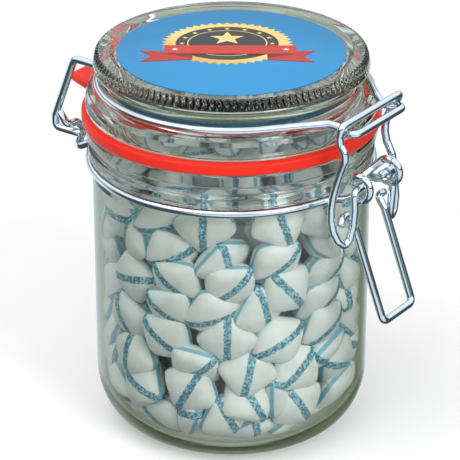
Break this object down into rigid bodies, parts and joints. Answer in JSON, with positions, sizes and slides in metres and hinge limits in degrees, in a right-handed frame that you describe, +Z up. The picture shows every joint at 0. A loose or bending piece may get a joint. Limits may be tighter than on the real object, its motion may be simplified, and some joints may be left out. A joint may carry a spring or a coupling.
{
  "type": "jar of sweets",
  "caption": "Clear glass clip-top jar with a wire bail, hinge and red gasket, filled with striped pillow-shaped mints, a round printed label on its lid.",
  "frame": {"origin": "on the surface it stands on, under the middle of the whole from the handle to the hinge", "axes": "+Z up, -Y towards the latch, +Y towards the lid's hinge"},
  "size_m": [0.09, 0.1187, 0.1208],
  "materials": {
    "clear_glass": "clear, faintly grey-green",
    "red_rubber": "satin",
    "label_print": "satin print, sky blue with a gold rosette and a red ribbon",
    "mint": "smooth matt boiled sugar, white with a blue stripe",
    "steel_wire": "bright"
  },
  "bodies": {
    "jar": {"glass_jar": "clear_glass", "glass_lid": "clear_glass", "gasket": "red_rubber", "label": "label_print", "mints": "mint", "neck_wire": "steel_wire", "lid_wire": "steel_wire"},
    "bail": {"bail": "steel_wire"},
    "handle": {"handle": "steel_wire"}
  },
  "joints": [
    {"name": "bail_swing", "type": "hinge", "parent": "jar", "child": "bail", "pos_m": [0, -0.04865, 0.0913], "axis": [1, 0, 0], "range_deg": [0, 20]},
    {"name": "handle_swing", "type": "hinge", "parent": "bail", "child": "handle", "pos_m": [0, -0.04515, 0.0823], "axis": [-1, 0, 0], "range_deg": [0, 88]}
  ]
}
